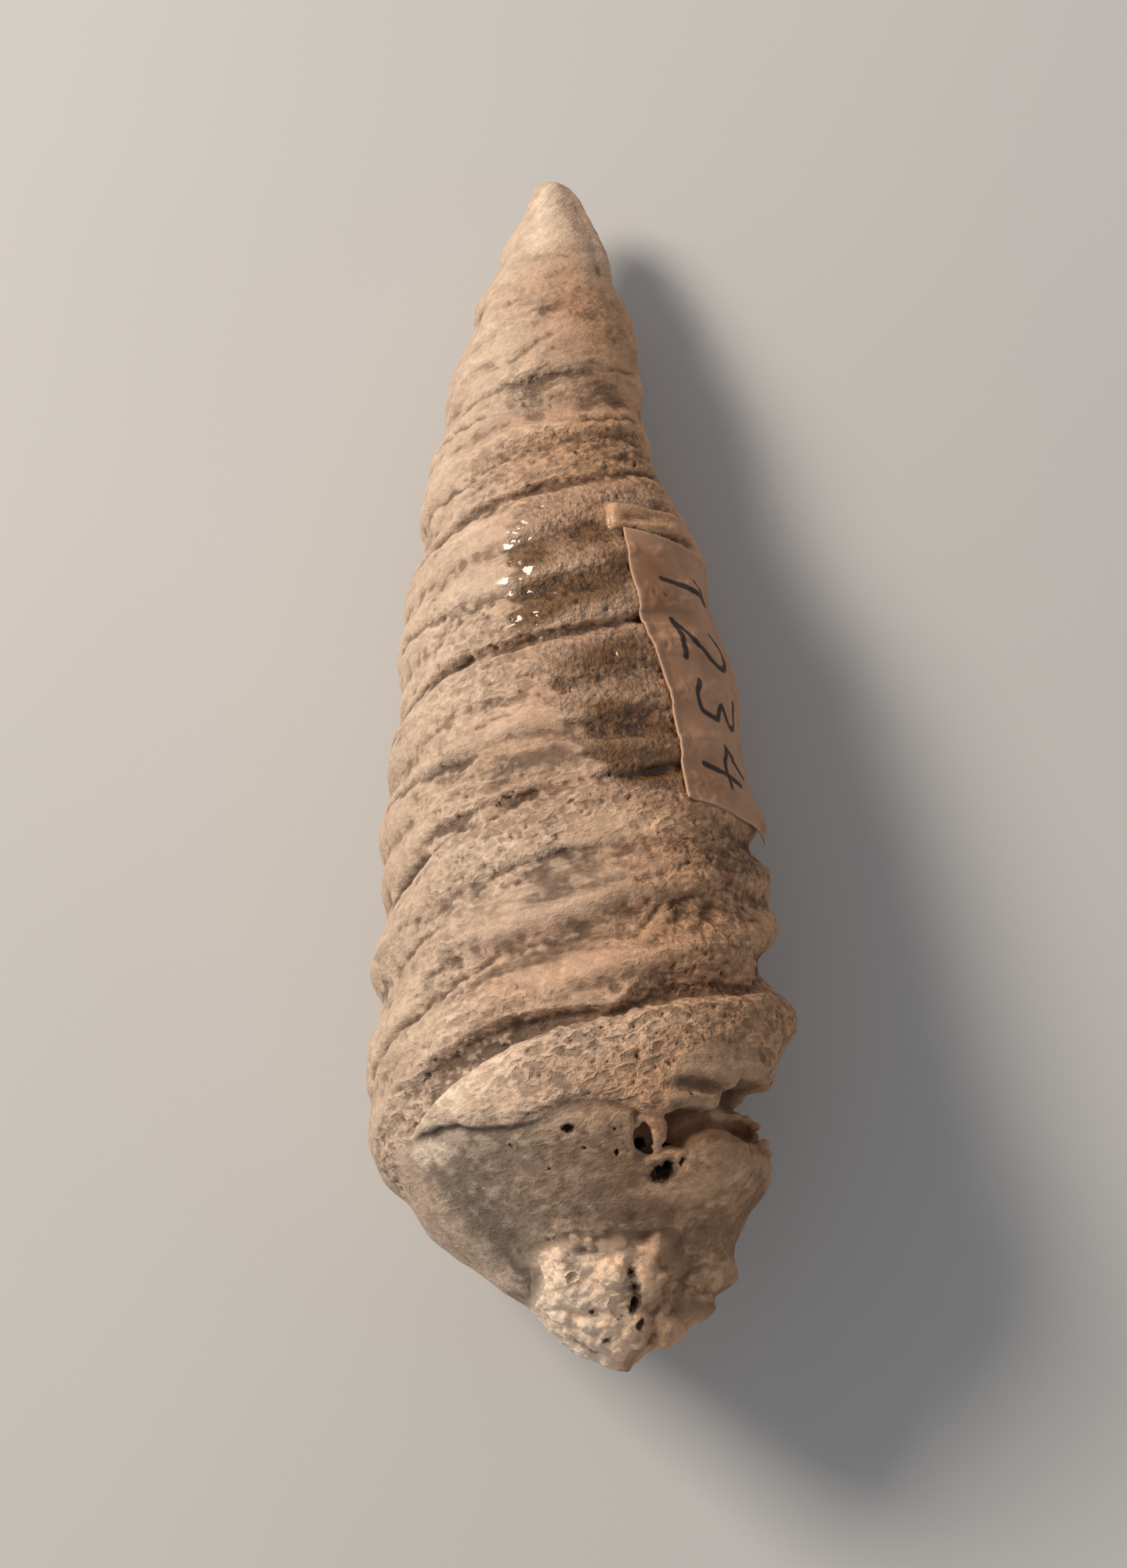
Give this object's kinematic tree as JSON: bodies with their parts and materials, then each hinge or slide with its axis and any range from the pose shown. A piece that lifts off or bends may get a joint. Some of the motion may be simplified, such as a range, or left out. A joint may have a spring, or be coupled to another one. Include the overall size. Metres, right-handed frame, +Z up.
{
  "type": "fossil turret snail",
  "caption": "Tall coiled fossil shell lying on its side, ribbed along the coil, with a broken lip, stone in its mouth and a slip of paper with plain pen numbers glued on.",
  "frame": {"origin": "on the surface that the shell rests on, under the middle of the object's bounding box", "axes": "+Y towards the thin end of the shell, +X towards the side with the label, +Z up from the worn flat that it rests on"},
  "size_m": [0.0266, 0.0784, 0.0266],
  "materials": {
    "fossil_stone": "chalky cream to tan stone, grainy and pitted, grey-brown on the bare core, with one patch of clear glossy varnish round the label",
    "label_paper": "aged pinkish tan paper, matt, brown stain at one corner"
  },
  "bodies": {
    "root": {"fossil_shell": "fossil_stone", "paper_label": "label_paper"}
  },
  "joints": []
}
